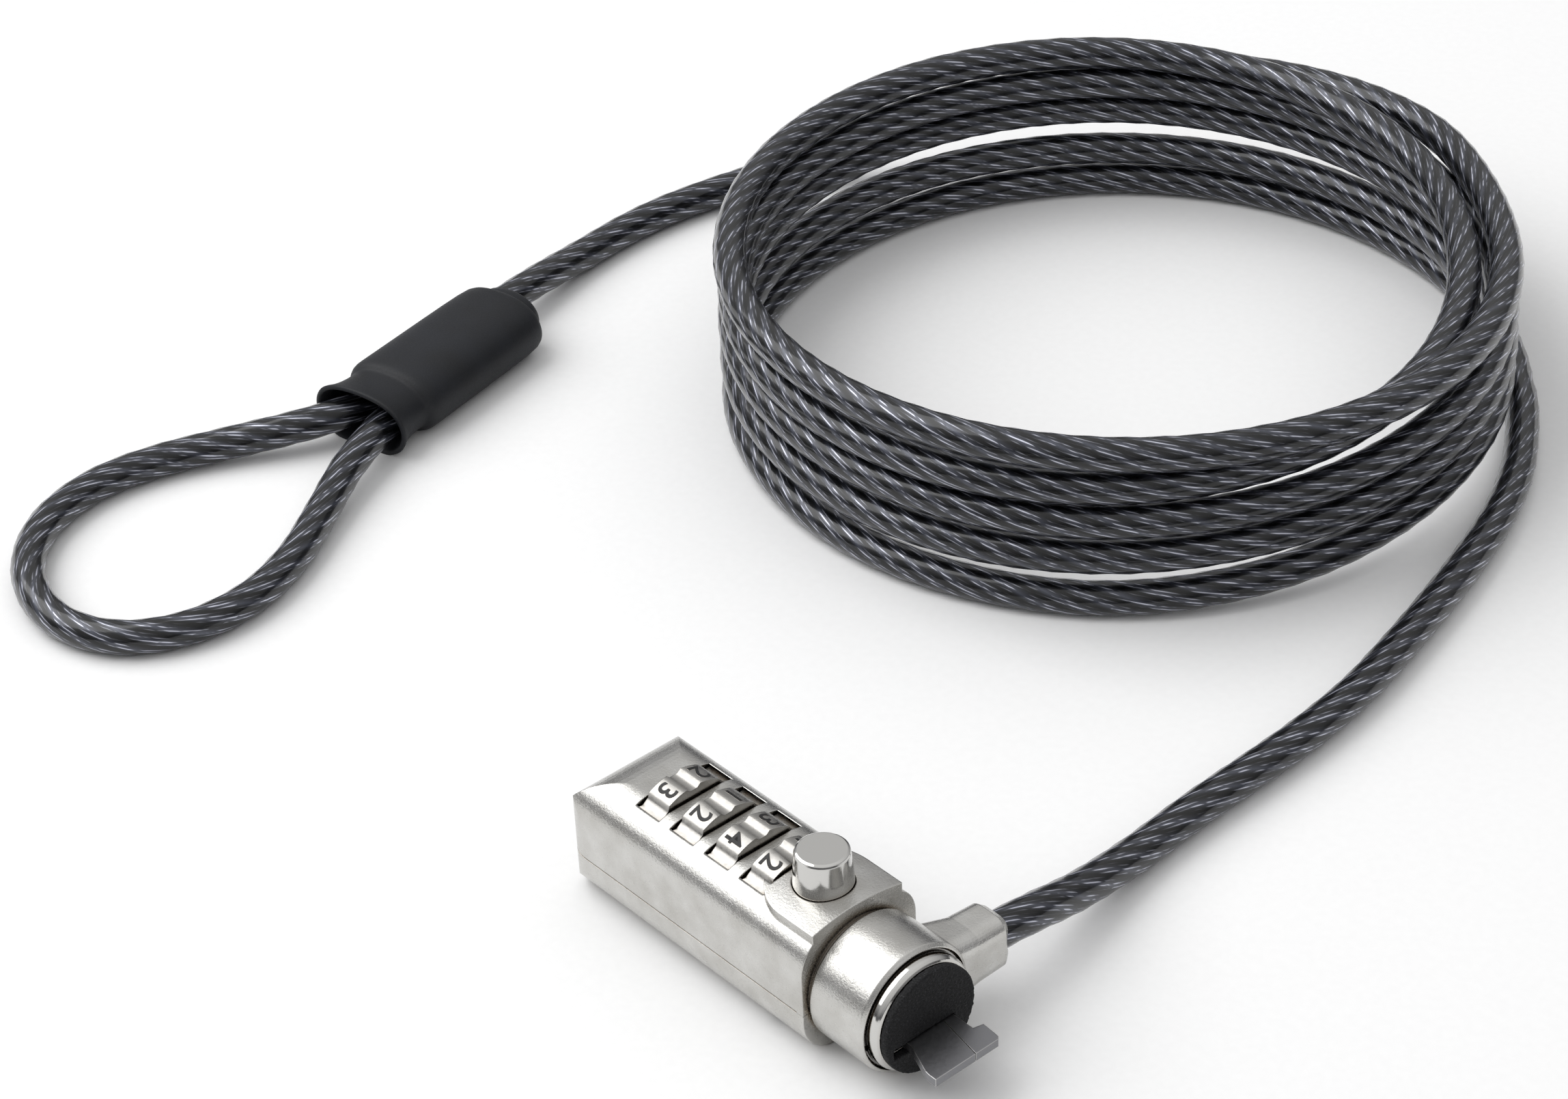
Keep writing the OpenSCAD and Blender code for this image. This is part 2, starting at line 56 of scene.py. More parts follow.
back = Vector((
    math.sin(azimuth) * math.cos(elevation),
    -math.cos(azimuth) * math.cos(elevation),
    math.sin(elevation),
))
level_right = Vector((math.cos(azimuth), math.sin(azimuth), 0))
level_up = back.cross(level_right)
right = level_right * math.cos(lean) + level_up * math.sin(lean)
up = level_up * math.cos(lean) - level_right * math.sin(lean)

bpy.ops.object.camera_add(location=looks_at + back * stands_off)
camera = bpy.context.object
camera.rotation_euler = Matrix((right, up, back)).transposed().to_euler()
camera.data.lens = 90
camera.data.sensor_width = 36
camera.data.clip_start = 0.01
bpy.context.scene.camera = camera

# ---------- cable ----------
# Galvanised wire rope, laid left-handed from seven strands, in a coat of smoke-tinted PVC. One length of
# it runs from the collar's arm through the coil, into the crimp, round the end loop and back to the crimp.

CABLE_D = 4.4 * MM
strands = 7
lay = 30 * MM
coil_x, coil_y = -49, 107.2

lead_points = [
    (24.5, 9.2, 7.6), (24.5, 14.2, 7.6), (24.4, 20, 6.8), (23.2, 28, 4.4), (21.6, 38, 2.5),
    (20.6, 48, 2.2), (20.2, 58, 2.2), (19.7, 68, 2.2), (18.4, 78, 2.2), (16, 88, 2.2),
    (13.2, 98, 2.2), (10.2, 107.5, 2.2), (6.6, 117, 2.2), (2.2, 125.5, 2.2), (-2.9, 132.6, 2.2),
    (-7.4, 137.9, 2.2),
]
tail_points = [
    (-82.5, 149.5, 17.5), (-91, 143, 14.5), (-99.5, 135.5, 11), (-107.5, 127, 7.5),
    (-114.5, 117.5, 4.6), (-119.5, 107.5, 2.8), (-122.3, 97, 2.2), (-122.8, 86.5, 2.2),
    (-121.4, 76, 2.4), (-119.4, 67.5, 3.3), (-117.6, 60.7, 3.9), (-116.4, 55.3, 3.9),
    (-114.4, 47, 3.9),
]
loop_points = [
    (-112.3, 38, 3.9), (-111.1, 32.7, 3.9), (-110.8, 27.4, 3.8), (-113, 21.2, 3.4),
    (-117, 13.8, 2.6), (-120.4, 5.5, 2.2), (-121.4, -3.5, 2.2), (-118.8, -12, 2.2),
    (-113.2, -18.4, 2.2), (-105.8, -22, 2.2), (-98, -22.4, 2.2), (-91.2, -18.9, 2.2),
    (-87.3, -11.8, 2.2), (-87.2, -3.2, 2.2), (-90.4, 5.2, 2.2), (-95.4, 13.2, 2.6),
    (-100.4, 21.2, 3.5), (-103.8, 28.4, 3.9), (-105.6, 33.5, 3.9), (-107.4, 39, 3.9),
    (-109.3, 47, 3.9), (-111.2, 55.3, 3.9),
]

# Height and radius of each turn, where it passes four places round the coil: the back, the left, the
# front and the right. The last turn crosses over the one before it and goes down behind the others.
quarters = (139, 225, 311, 405)
turn_heights = [
    (2.2, 2.2, 2.2, 6.7), (7.0, 7.9, 8.3, 11.3), (13.4, 13.4, 13.3, 15.9),
    (17.8, 17.9, 17.9, 20.1), (22.2, 22.7, 22.8, 20.5),
]
turn_radii = [
    (50.5, 49.3, 50.5, 48.5), (50.5, 49.3, 50.5, 48.5), (50.5, 49.3, 50.5, 48.3),
    (49.6, 49.1, 50.2, 43.3), (50.0, 49.5, 50.5, 48.6),
]
coil_keys = [(42, 51, 2.2), (80, 50.2, 2.2)]
for turn, (heights, radii) in enumerate(zip(turn_heights, turn_radii)):
    coil_keys += [(q + 360 * turn, r, h) for q, r, h in zip(quarters, radii, heights)]
coil_keys += [(1884, 51.9, 20.4), (1918, 54.3, 18.4)]


def smooth_run(points, steps):
    """A smooth line through the points, with that many steps between each two."""
    run = []
    for i in range(len(points) - 1):
        a, b, c, d = (Vector(points[min(max(j, 0), len(points) - 1)]) for j in range(i - 1, i + 3))
        for k in range(steps):
            t = k / steps
            bend = 2 * a - 5 * b + 4 * c - d
            run.append((2 * b + (c - a) * t + bend * t**2 + (3 * b - a - 3 * c + d) * t**3) / 2)
    return run + [Vector(points[-1])]


coil_points = []
for angle, radius, height in smooth_run(coil_keys, 12):
    turn = math.radians(angle)
    coil_points.append((coil_x + radius * math.cos(turn), coil_y + radius * math.sin(turn), height))
route = smooth_run(lead_points + coil_points + tail_points + loop_points, 6)

step = 1.5
resting_height = 2.2
cable_line = [route[0] * MM]
since = 0.0
for a, b in zip(route, route[1:]):
    while since + (b - a).length >= step:
        a = a + (b - a) * ((step - since) / (b - a).length)
        cable_line.append(Vector((a.x, a.y, max(a.z, resting_height))) * MM)
        since = 0.0
    since += (b - a).length

# The strands press their shape a little way through the coat.
cable_sides = 42
strand_rise = 0.11 * MM
verts, faces, along = [], [], [0.0]
tangent = (cable_line[1] - cable_line[0]).normalized()
outward = tangent.cross(Vector((0, 0, 1))).normalized()
for i, point in enumerate(cable_line):
    ahead = cable_line[min(i + 1, len(cable_line) - 1)] - cable_line[max(i - 1, 0)]
    outward = tangent.rotation_difference(ahead) @ outward
    tangent = ahead.normalized()
    outward = (outward - tangent * outward.dot(tangent)).normalized()
    sideways = tangent.cross(outward)
    if i:
        along.append(along[-1] + (point - cable_line[i - 1]).length)
    for s in range(cable_sides):
        turn = 2 * math.pi * s / cable_sides
        strand = strands * (turn - 2 * math.pi * along[-1] / lay) / 2
        r = CABLE_D / 2 - strand_rise * abs(math.cos(strand))
        verts.append(point + r * (outward * math.cos(turn) + sideways * math.sin(turn)))
for i in range(len(cable_line) - 1):
    for s in range(cable_sides):
        a, b = i * cable_sides + s, i * cable_sides + (s + 1) % cable_sides
        faces.append((a, b, b + cable_sides, a + cable_sides))
faces.append(tuple(reversed(range(cable_sides))))
faces.append(tuple(range(len(verts) - cable_sides, len(verts))))

cable_mesh = bpy.data.meshes.new("cable")
cable_mesh.from_pydata(verts, [], faces)
uv = cable_mesh.uv_layers.new(name="along_and_round")
for face in cable_mesh.polygons[:-2]:
    i, s = divmod(face.index, cable_sides)
    for loop, (ring, place) in zip(face.loop_indices, ((i, s), (i, s + 1), (i + 1, s + 1), (i + 1, s))):
        uv.data[loop].uv = (along[ring], place / cable_sides)
cable_mesh.shade_smooth()
cable = bpy.data.objects.new("cable", cable_mesh)
bpy.context.collection.objects.link(cable)


def linear(hex_colour):
    """An sRGB hex value as a linear colour."""
    parts = [int(hex_colour[i:i + 2], 16) / 255 for i in (1, 3, 5)]
    return (*(c / 12.92 if c <= 0.04045 else ((c + 0.055) / 1.055) ** 2.4 for c in parts), 1)


def add(look, kind, inputs=None, out=0, stops=(), **settings):
    """Adds one node with its settings, its values and its links, and gives one of its outputs."""
    made = look.node_tree.nodes.new("ShaderNode" + kind)
    for name, value in settings.items():
        setattr(made, name, value)
    for i, (place, colour) in enumerate(stops):
        stop = made.color_ramp.elements[0] if i == 0 else made.color_ramp.elements.new(place)
        stop.position, stop.color = place, linear(colour)
        if i == 0:
            made.color_ramp.elements.remove(made.color_ramp.elements[1])
    for name, value in (inputs or {}).items():
        if isinstance(value, bpy.types.NodeSocket):
            look.node_tree.links.new(value, made.inputs[name])
        else:
            made.inputs[name].default_value = value
    return made.outputs[out] if made.outputs else None


def blank(name):
    """A material with no nodes yet."""
    look = bpy.data.materials.new(name)
    look.use_nodes = True
    look.node_tree.nodes.clear()
    return look


# Bright steel strands seen through glossy smoke PVC. The gaps between the strands are painted black as
# shade, and on the strands the thin lines of single wires are painted as bright glints in short lengths.
coated_rope = blank("smoke_pvc_over_laid_steel_wire")
place = add(coated_rope, "UVMap", uv_map="along_and_round")
run = add(coated_rope, "SeparateXYZ", {0: place}, out="X")
around = add(coated_rope, "SeparateXYZ", {0: place}, out="Y")
laid = add(coated_rope, "Math", {0: run, 1: -1 / lay, 2: around}, operation="MULTIPLY_ADD")
strand_turn = add(coated_rope, "Math", {0: laid, 1: strands}, operation="MULTIPLY")
across_strand = add(coated_rope, "Math", {0: strand_turn}, operation="FRACT")
# Painted shade: each strand's grey darkens to black towards the gaps between strands and is lightest on its
# crest.
strand_tone_and_painted_shade = add(coated_rope, "ValToRGB", {0: across_strand}, stops=[
    (0.0, "#020203"), (0.14, "#08090b"), (0.36, "#2a2c34"), (0.56, "#454853"), (0.78, "#1c1e24"),
    (0.9, "#050607"), (1.0, "#020203")])
wire_turn = add(coated_rope, "Math", {0: run, 1: 95, 2: strand_turn}, operation="MULTIPLY_ADD")
wires = add(coated_rope, "Math", {0: wire_turn, 1: 4}, operation="MULTIPLY")
across_wire = add(coated_rope, "Math", {0: wires}, operation="FRACT")
wire_line = add(coated_rope, "ValToRGB", {0: across_wire}, stops=[
    (0.0, "#000000"), (0.28, "#000000"), (0.5, "#ffffff"), (0.72, "#000000"), (1.0, "#000000")])
breaks_at = add(coated_rope, "CombineXYZ", {
    0: add(coated_rope, "Math", {0: laid, 1: 34}, operation="MULTIPLY"),
    1: add(coated_rope, "Math", {0: run, 1: 330}, operation="MULTIPLY")})
breaks = add(coated_rope, "TexNoise", {"Vector": breaks_at, "Scale": 1.0, "Detail": 2.0})
# Painted glints: the wire lines are cut by noise into short lengths and painted a fixed pale colour, as if
# catching the light.
caught = add(coated_rope, "ValToRGB", {0: breaks}, stops=[(0.44, "#000000"), (0.6, "#ffffff")])
glint = add(coated_rope, "Math", {0: wire_line, 1: caught}, operation="MULTIPLY")
on_crest = add(coated_rope, "Math", {0: glint, 1: strand_tone_and_painted_shade}, operation="MULTIPLY")
glint_here = add(coated_rope, "Math", {0: on_crest, 1: 40.0}, operation="MULTIPLY", use_clamp=True)
rope_colour_and_painted_light = add(coated_rope, "Mix", {0: glint_here, 6: strand_tone_and_painted_shade, 7: linear("#c3c5d2")}, out=2,
                  data_type="RGBA")
rope_relief = add(coated_rope, "Bump", {"Strength": 0.6, "Distance": 0.2 * MM, "Height": strand_tone_and_painted_shade})
patchy = add(coated_rope, "MapRange", {0: breaks, 3: 0.28, 4: 0.5})
surface = add(coated_rope, "BsdfPrincipled", {
    "Base Color": rope_colour_and_painted_light, "Metallic": 0.75, "Roughness": patchy, "Normal": rope_relief,
    "Coat Weight": 0.8, "Coat Roughness": 0.14, "Coat IOR": 1.5})
add(coated_rope, "OutputMaterial", {0: surface})
cable_mesh.materials.append(coated_rope)

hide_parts("cable_lead", "cable_coil", "cable_tail", "cable_loop")
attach(cable, "cable_side")

# ---------- table and light ----------
# A white table under one large soft box, up to the left and a little behind, in a pale grey room that
# darkens towards the floor. The dark rim gives the rounded metal its edges.

bpy.ops.object.select_all(action="DESELECT")
bpy.ops.mesh.primitive_plane_add(size=6)
table = bpy.context.object
table.name = "table"
white_board = blank("matt_white_laminate")
fleck = add(white_board, "TexNoise", {"Vector": add(white_board, "TexCoord", out="Object"), "Scale": 900})
board_colour = add(white_board, "ValToRGB", {0: fleck}, stops=[(0.3, "#f6f6f6"), (0.7, "#f8f8f8")])
surface = add(white_board, "BsdfPrincipled", {"Base Color": board_colour, "Roughness": 0.9})
add(white_board, "OutputMaterial", {0: surface})
table.data.materials.append(white_board)

bpy.ops.object.light_add(type="AREA", location=(-0.6, -0.33, 0.76))
soft_box = bpy.context.object
soft_box.name = "soft_box"
soft_box.data.size = 1.0
soft_box.data.energy = 7.4
soft_box.rotation_euler = (soft_box.location - Vector((-0.03, 0.04, 0))).to_track_quat("Z", "Y").to_euler()

room = bpy.data.worlds.new("room")
bpy.context.scene.world = room
room.use_nodes = True
room.node_tree.nodes.clear()
height = add(room, "SeparateXYZ", {0: add(room, "TexCoord", out="Generated")}, out="Z")
walls = add(room, "ValToRGB", {0: height}, stops=[
    (0.0, "#2e2e30"), (0.1, "#6c6c6e"), (0.3, "#b4b4b5"), (0.6, "#d8d8d8"), (1.0, "#f2f2f2")])
add(room, "OutputWorld", {0: add(room, "Background", {0: walls, 1: 1.0})})
bpy.context.scene.view_settings.view_transform = "Standard"


def dress(finish, *names):
    """Gives the named solids a finish."""
    for name in names:
        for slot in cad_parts[name].material_slots:
            slot.material = finish


# ---------- crimp and its sleeve ----------
# An aluminium ferrule is squeezed on both runs of the cable to close the loop. A moulded black PVC
# sleeve slides over it, with a step at the cable's end and a flared skirt at the loop's.

crimp_metal = blank("pressed_aluminium")
where = add(crimp_metal, "TexCoord", out="Object")
press_marks = add(crimp_metal, "TexNoise", {"Vector": where, "Scale": 1500, "Detail": 3})
dull = add(crimp_metal, "MapRange", {0: press_marks, 3: 0.35, 4: 0.55})
marks = add(crimp_metal, "Bump", {"Strength": 0.4, "Distance": 0.02 * MM, "Height": press_marks})
surface = add(crimp_metal, "BsdfPrincipled", {
    "Base Color": linear("#c3c5c7"), "Metallic": 1.0, "Roughness": dull, "Normal": marks})
add(crimp_metal, "OutputMaterial", {0: surface})
dress(crimp_metal, "crimp_ferrule")

# Matt, spark-eroded mould grain, a fifth of a millimetre across, in blue-black PVC.
sleeve_plastic = blank("moulded_matt_pvc")
where = add(sleeve_plastic, "TexCoord", out="Object")
soft_edge = add(sleeve_plastic, "Bevel", {"Radius": 0.35 * MM}, samples=6)
grain = add(sleeve_plastic, "TexNoise", {"Vector": where, "Scale": 4500, "Detail": 3, "Roughness": 0.65})
clouding = add(sleeve_plastic, "TexNoise", {"Vector": where, "Scale": 180, "Detail": 3})
sleeve_tone = add(sleeve_plastic, "ValToRGB", {0: clouding}, stops=[(0.3, "#0c0e13"), (0.7, "#13161d")])
sleeve_shine = add(sleeve_plastic, "MapRange", {0: grain, 3: 0.46, 4: 0.7})
sleeve_grain = add(sleeve_plastic, "Bump", {
    "Strength": 0.7, "Distance": 0.03 * MM, "Height": grain, "Normal": soft_edge})
surface = add(sleeve_plastic, "BsdfPrincipled", {
    "Base Color": sleeve_tone, "Roughness": sleeve_shine, "Normal": sleeve_grain, "Specular IOR Level": 0.4})
add(sleeve_plastic, "OutputMaterial", {0: surface})

# Its sections from the cable's end to the mouth, as distance, width and height.
sleeve_sections = [
    (0, 7.6, 5.2), (0.3, 8.6, 6.0), (2.0, 8.8, 6.2), (2.1, 8.9, 6.3), (2.15, 11.9, 7.0), (2.3, 12.4, 7.3),
    (2.9, 12.8, 7.6), (12, 13.0, 7.7), (22.6, 13.2, 7.7), (24.2, 13.4, 7.7), (24.7, 13.1, 7.5),
    (25.0, 12.2, 6.8), (25.4, 11.6, 6.4), (26.4, 11.4, 6.3), (28.6, 11.8, 6.5), (30.4, 12.8, 7.1),
    (31.2, 13.8, 7.6), (31.4, 13.9, 7.6),
]
bpy.ops.object.select_all(action="DESELECT")
bpy.ops.mesh.primitive_circle_add(vertices=56, radius=2.3 * MM, rotation=(0, math.pi / 2, 0))
boot = bpy.context.object
boot.name = "sleeve"
bpy.ops.object.transform_apply(rotation=True)
bpy.ops.object.mode_set(mode="EDIT")
bpy.ops.mesh.select_all(action="SELECT")
was = (0, 4.6, 4.6)
for section in sleeve_sections:
    bpy.ops.mesh.extrude_region_move(TRANSFORM_OT_translate={"value": ((section[0] - was[0]) * MM, 0, 0)})
    bpy.ops.transform.resize(value=(1, section[1] / was[1], section[2] / was[2]))
    was = section
bpy.ops.mesh.select_all(action="SELECT")
bpy.ops.mesh.normals_make_consistent(inside=False)
bpy.ops.object.mode_set(mode="OBJECT")
# The sides are squarer than an ellipse's.
squareness = 0.22
half_width = 6.9 * MM
for v in boot.data.vertices:
    v.co.z *= 1 + squareness * (v.co.y / half_width) ** 2
wall = boot.modifiers.new("wall", "SOLIDIFY")
wall.thickness = 0.65 * MM
wall.offset = -1
bpy.ops.object.modifier_apply(modifier="wall")
soft = boot.modifiers.new("soft", "SUBSURF")
soft.levels = soft.render_levels = 1
bpy.ops.object.modifier_apply(modifier="soft")
bpy.ops.object.shade_smooth()
along_the_cable = Matrix.Rotation(math.radians(-76.8), 4, "Z")
boot.data.transform(Matrix.Translation((-114.6 * MM, 58.8 * MM, 3.9 * MM)) @ along_the_cable)
boot.data.materials.append(sleeve_plastic)
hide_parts("ferrule_sleeve")
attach(boot, "cable_side")

# ---------- cable end in the collar's arm ----------
# The cable's other end is swaged in a steel plug, and a hardened pin through the arm holds the plug.

turned_steel = blank("turned_steel")
where = add(turned_steel, "TexCoord", out="Object")
tool_marks = add(turned_steel, "TexWave", {
    "Vector": where, "Scale": 1800, "Distortion": 1.5, "Detail": 2}, bands_direction="X", out="Fac")
turned_shine = add(turned_steel, "MapRange", {0: tool_marks, 3: 0.24, 4: 0.4})
turned_relief = add(turned_steel, "Bump", {"Strength": 0.3, "Distance": 0.01 * MM, "Height": tool_marks})
surface = add(turned_steel, "BsdfPrincipled", {
    "Base Color": linear("#aeaca8"), "Metallic": 1.0, "Roughness": turned_shine, "Normal": turned_relief})
add(turned_steel, "OutputMaterial", {0: surface})
dress(turned_steel, "cable_end_plug", "anchor_pin", "spindle", "cam_pin", "cam_slide", "spring_guide")

# ---------- swivel collar ----------
# A zinc casting with the cable's arm in one piece, which turns on the lock's neck. It is nickel plated and
# vapour blasted to a pearly satin, brightest where hands rub its edges, with brown shade painted into its
# corners.

satin_nickel = blank("vapour_blasted_nickel_plate")
where = add(satin_nickel, "TexCoord", out="Object")
rounded = add(satin_nickel, "Bevel", {"Radius": 0.22 * MM}, samples=8)
blasting = add(satin_nickel, "TexNoise", {"Vector": where, "Scale": 3600, "Detail": 3, "Roughness": 0.7})
plating = add(satin_nickel, "TexNoise", {"Vector": where, "Scale": 300, "Detail": 3})
# Painted shade: the plate's colour darkens to brown where ambient occlusion finds corners and gaps.
corners = add(satin_nickel, "AmbientOcclusion", {"Distance": 0.9 * MM}, out="AO", samples=8)
plate_tone_and_painted_shade = add(satin_nickel, "ValToRGB", {0: corners}, stops=[
    (0.1, "#6b5a48"), (0.4, "#b0a89d"), (0.7, "#cbc9c5"), (1.0, "#cecdca")])
plate_patches = add(satin_nickel, "ValToRGB", {0: plating}, stops=[(0.3, "#e9e8e6"), (0.7, "#ffffff")])
plate_colour_and_painted_shade = add(satin_nickel, "Mix", {0: 1.0, 6: plate_tone_and_painted_shade, 7: plate_patches}, out=2,
                   data_type="RGBA", blend_type="MULTIPLY")
facing = add(satin_nickel, "NewGeometry", out="Normal")
flatness = add(satin_nickel, "VectorMath", {0: rounded, 1: facing}, out="Value", operation="DOT_PRODUCT")
rubbed = add(satin_nickel, "MapRange", {0: flatness, 1: 0.8, 2: 1.0, 3: 0.12, 4: 0.2})
plate_shine = add(satin_nickel, "Math", {0: blasting, 1: 0.12, 2: rubbed}, operation="MULTIPLY_ADD")
blasted = add(satin_nickel, "Bump", {
    "Strength": 1.0, "Distance": 0.03 * MM, "Height": blasting, "Normal": rounded})
surface = add(satin_nickel, "BsdfPrincipled", {
    "Base Color": plate_colour_and_painted_shade, "Metallic": 1.0, "Roughness": plate_shine, "Normal": blasted})
add(satin_nickel, "OutputMaterial", {0: surface})
dress(satin_nickel, "swivel_collar")

# ---------- neck ----------
# The collar turns on a die-cast neck. A wave washer takes up its play, a split ring keeps it on, and a
# polished nose ring with a foam rubber face closes the front against the laptop.

cast_zinc = blank("die_cast_zinc")
where = add(cast_zinc, "TexCoord", out="Object")
cast_skin = add(cast_zinc, "TexNoise", {"Vector": where, "Scale": 1800, "Detail": 4})
cast_tone = add(cast_zinc, "ValToRGB", {0: cast_skin}, stops=[(0.3, "#8d877d"), (0.7, "#a39e95")])
cast_shine = add(cast_zinc, "MapRange", {0: cast_skin, 3: 0.38, 4: 0.58})
cast_relief = add(cast_zinc, "Bump", {"Strength": 0.5, "Distance": 0.02 * MM, "Height": cast_skin})
surface = add(cast_zinc, "BsdfPrincipled", {
    "Base Color": cast_tone, "Metallic": 1.0, "Roughness": cast_shine, "Normal": cast_relief})
add(cast_zinc, "OutputMaterial", {0: surface})
dress(cast_zinc, "neck_barrel", "dial_frame")

spring_steel = blank("drawn_spring_steel")
where = add(spring_steel, "TexCoord", out="Object")
drawn = add(spring_steel, "TexNoise", {"Vector": where, "Scale": 2600, "Detail": 2})
drawn_shine = add(spring_steel, "MapRange", {0: drawn, 3: 0.2, 4: 0.36})
drawn_edge = add(spring_steel, "Bevel", {"Radius": 0.06 * MM}, samples=6)
surface = add(spring_steel, "BsdfPrincipled", {
    "Base Color": linear("#a5a4a2"), "Metallic": 1.0, "Roughness": drawn_shine, "Normal": drawn_edge})
add(spring_steel, "OutputMaterial", {0: surface})
dress(spring_steel, "wave_washer", "retaining_ring", "detent_leaf", "return_spring", "shell_screws")

polished_chrome = blank("polished_chrome_plate")
where = add(polished_chrome, "TexCoord", out="Object")
hairlines = add(polished_chrome, "TexNoise", {
    "Vector": add(polished_chrome, "Mapping", {0: where, "Scale": (1, 1, 9)}), "Scale": 1400, "Detail": 3})
chrome_shine = add(polished_chrome, "MapRange", {0: hairlines, 1: 0.4, 2: 0.75, 3: 0.09, 4: 0.17})
chrome_edge = add(polished_chrome, "Bevel", {"Radius": 0.14 * MM}, samples=8)
chrome_relief = add(polished_chrome, "Bump", {
    "Strength": 0.25, "Distance": 0.005 * MM, "Height": hairlines, "Normal": chrome_edge})
# Painted shade: the chrome's colour darkens to brown where ambient occlusion finds corners and gaps.
chrome_corner = add(polished_chrome, "AmbientOcclusion", {"Distance": 0.8 * MM}, out="AO", samples=8)
chrome_tone_and_painted_shade = add(polished_chrome, "ValToRGB", {0: chrome_corner}, stops=[
    (0.1, "#75685c"), (0.6, "#bab7b2"), (1.0, "#cbcac7")])
surface = add(polished_chrome, "BsdfPrincipled", {
    "Base Color": chrome_tone_and_painted_shade, "Metallic": 1.0, "Roughness": chrome_shine, "Normal": chrome_relief})
add(polished_chrome, "OutputMaterial", {0: surface})
dress(polished_chrome, "nose_ring")

# The face is a punched disc of closed-cell rubber, with a slot for the blades. Its skin is open and
# grainy, so its cells show as a fine black sparkle.
low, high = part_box("foam_pad")
middle = (Vector(low) + Vector(high)) / 2
bpy.ops.object.select_all(action="DESELECT")
bpy.ops.mesh.primitive_cylinder_add(
    vertices=96, radius=(high[1] - low[1]) / 2 - 0.03 * MM, depth=high[0] - low[0] - 0.06 * MM,
    location=middle, rotation=(0, math.pi / 2, 0))
pad = bpy.context.object
pad.name = "pad_face"
bpy.ops.object.mode_set(mode="EDIT")
bpy.ops.mesh.select_all(action="SELECT")
bpy.ops.mesh.bevel(offset=0.18 * MM, segments=2, affect="EDGES", clamp_overlap=True)
bpy.ops.object.mode_set(mode="OBJECT")
bpy.ops.mesh.primitive_cube_add(size=1, location=(middle.x, -0.9 * MM, 5.9 * MM))
slot_punch = bpy.context.object
slot_punch.scale = (4 * MM, 8.4 * MM, 1.4 * MM)
bpy.ops.object.select_all(action="DESELECT")
pad.select_set(True)
bpy.context.view_layer.objects.active = pad
punch = pad.modifiers.new("slot", "BOOLEAN")
punch.object = slot_punch
bpy.ops.object.modifier_apply(modifier="slot")
bpy.data.objects.remove(slot_punch)
cells = bpy.data.textures.new("cells", "CLOUDS")
cells.noise_scale = 0.3 * MM
even = pad.modifiers.new("even", "REMESH")
even.mode = "VOXEL"
even.voxel_size = 0.13 * MM
bpy.ops.object.modifier_apply(modifier="even")
rough_skin = pad.modifiers.new("skin", "DISPLACE")
rough_skin.texture = cells
rough_skin.texture_coords = "LOCAL"
rough_skin.strength = 0.16 * MM
rough_skin.mid_level = 0.5
bpy.ops.object.modifier_apply(modifier="skin")
bpy.ops.object.transform_apply(location=True, rotation=True, scale=True)
bpy.ops.object.shade_smooth()
foam_rubber = blank("closed_cell_rubber")
where = add(foam_rubber, "TexCoord", out="Object")
pores = add(foam_rubber, "TexVoronoi", {"Vector": where, "Scale": 4200}, out="Distance")
speck = add(foam_rubber, "TexNoise", {"Vector": where, "Scale": 5200, "Detail": 2})
pad_tone = add(foam_rubber, "ValToRGB", {0: speck}, stops=[
    (0.35, "#0b0b0c"), (0.62, "#19191b"), (0.74, "#38383b")])
pad_relief = add(foam_rubber, "Bump", {"Strength": 0.9, "Distance": 0.05 * MM, "Height": pores})
pad_shine = add(foam_rubber, "MapRange", {0: speck, 3: 0.95, 4: 0.65})
surface = add(foam_rubber, "BsdfPrincipled", {
    "Base Color": pad_tone, "Roughness": pad_shine, "Normal": pad_relief, "Specular IOR Level": 0.35})
add(foam_rubber, "OutputMaterial", {0: surface})
pad.data.materials.append(foam_rubber)
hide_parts("foam_pad")
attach(pad, "head")

# ---------- blades ----------
# Two hardened steel plates, stamped and tumbled. The narrow one is fixed and its hook catches behind the
# slot's edge; the wide one slides back with the button to let the head go.

blade_steel = blank("tumbled_hardened_steel")
where = add(blade_steel, "TexCoord", out="Object")
stamped_edge = add(blade_steel, "Bevel", {"Radius": 0.16 * MM}, samples=8)
tumbling = add(blade_steel, "TexNoise", {"Vector": where, "Scale": 2600, "Detail": 4, "Roughness": 0.7})
blade_facing = add(blade_steel, "NewGeometry", out="Normal")
blade_flat = add(blade_steel, "VectorMath", {0: stamped_edge, 1: blade_facing}, out="Value",
                 operation="DOT_PRODUCT")
blade_tone = add(blade_steel, "ValToRGB", {0: blade_flat}, stops=[
    (0.8, "#c6c5c4"), (0.97, "#a09fa0"), (0.995, "#868689")])
blade_shine = add(blade_steel, "MapRange", {0: tumbling, 3: 0.26, 4: 0.5})
blade_relief = add(blade_steel, "Bump", {
    "Strength": 0.6, "Distance": 0.012 * MM, "Height": tumbling, "Normal": stamped_edge})
surface = add(blade_steel, "BsdfPrincipled", {
    "Base Color": blade_tone, "Metallic": 1.0, "Roughness": blade_shine, "Normal": blade_relief})
add(blade_steel, "OutputMaterial", {0: surface})
dress(blade_steel, "slide_plate", "hook_plate")

# ---------- code sleeves ----------
# Turned brass sleeves, one inside each dial. The spindle's lugs pass their gates when the code is set.

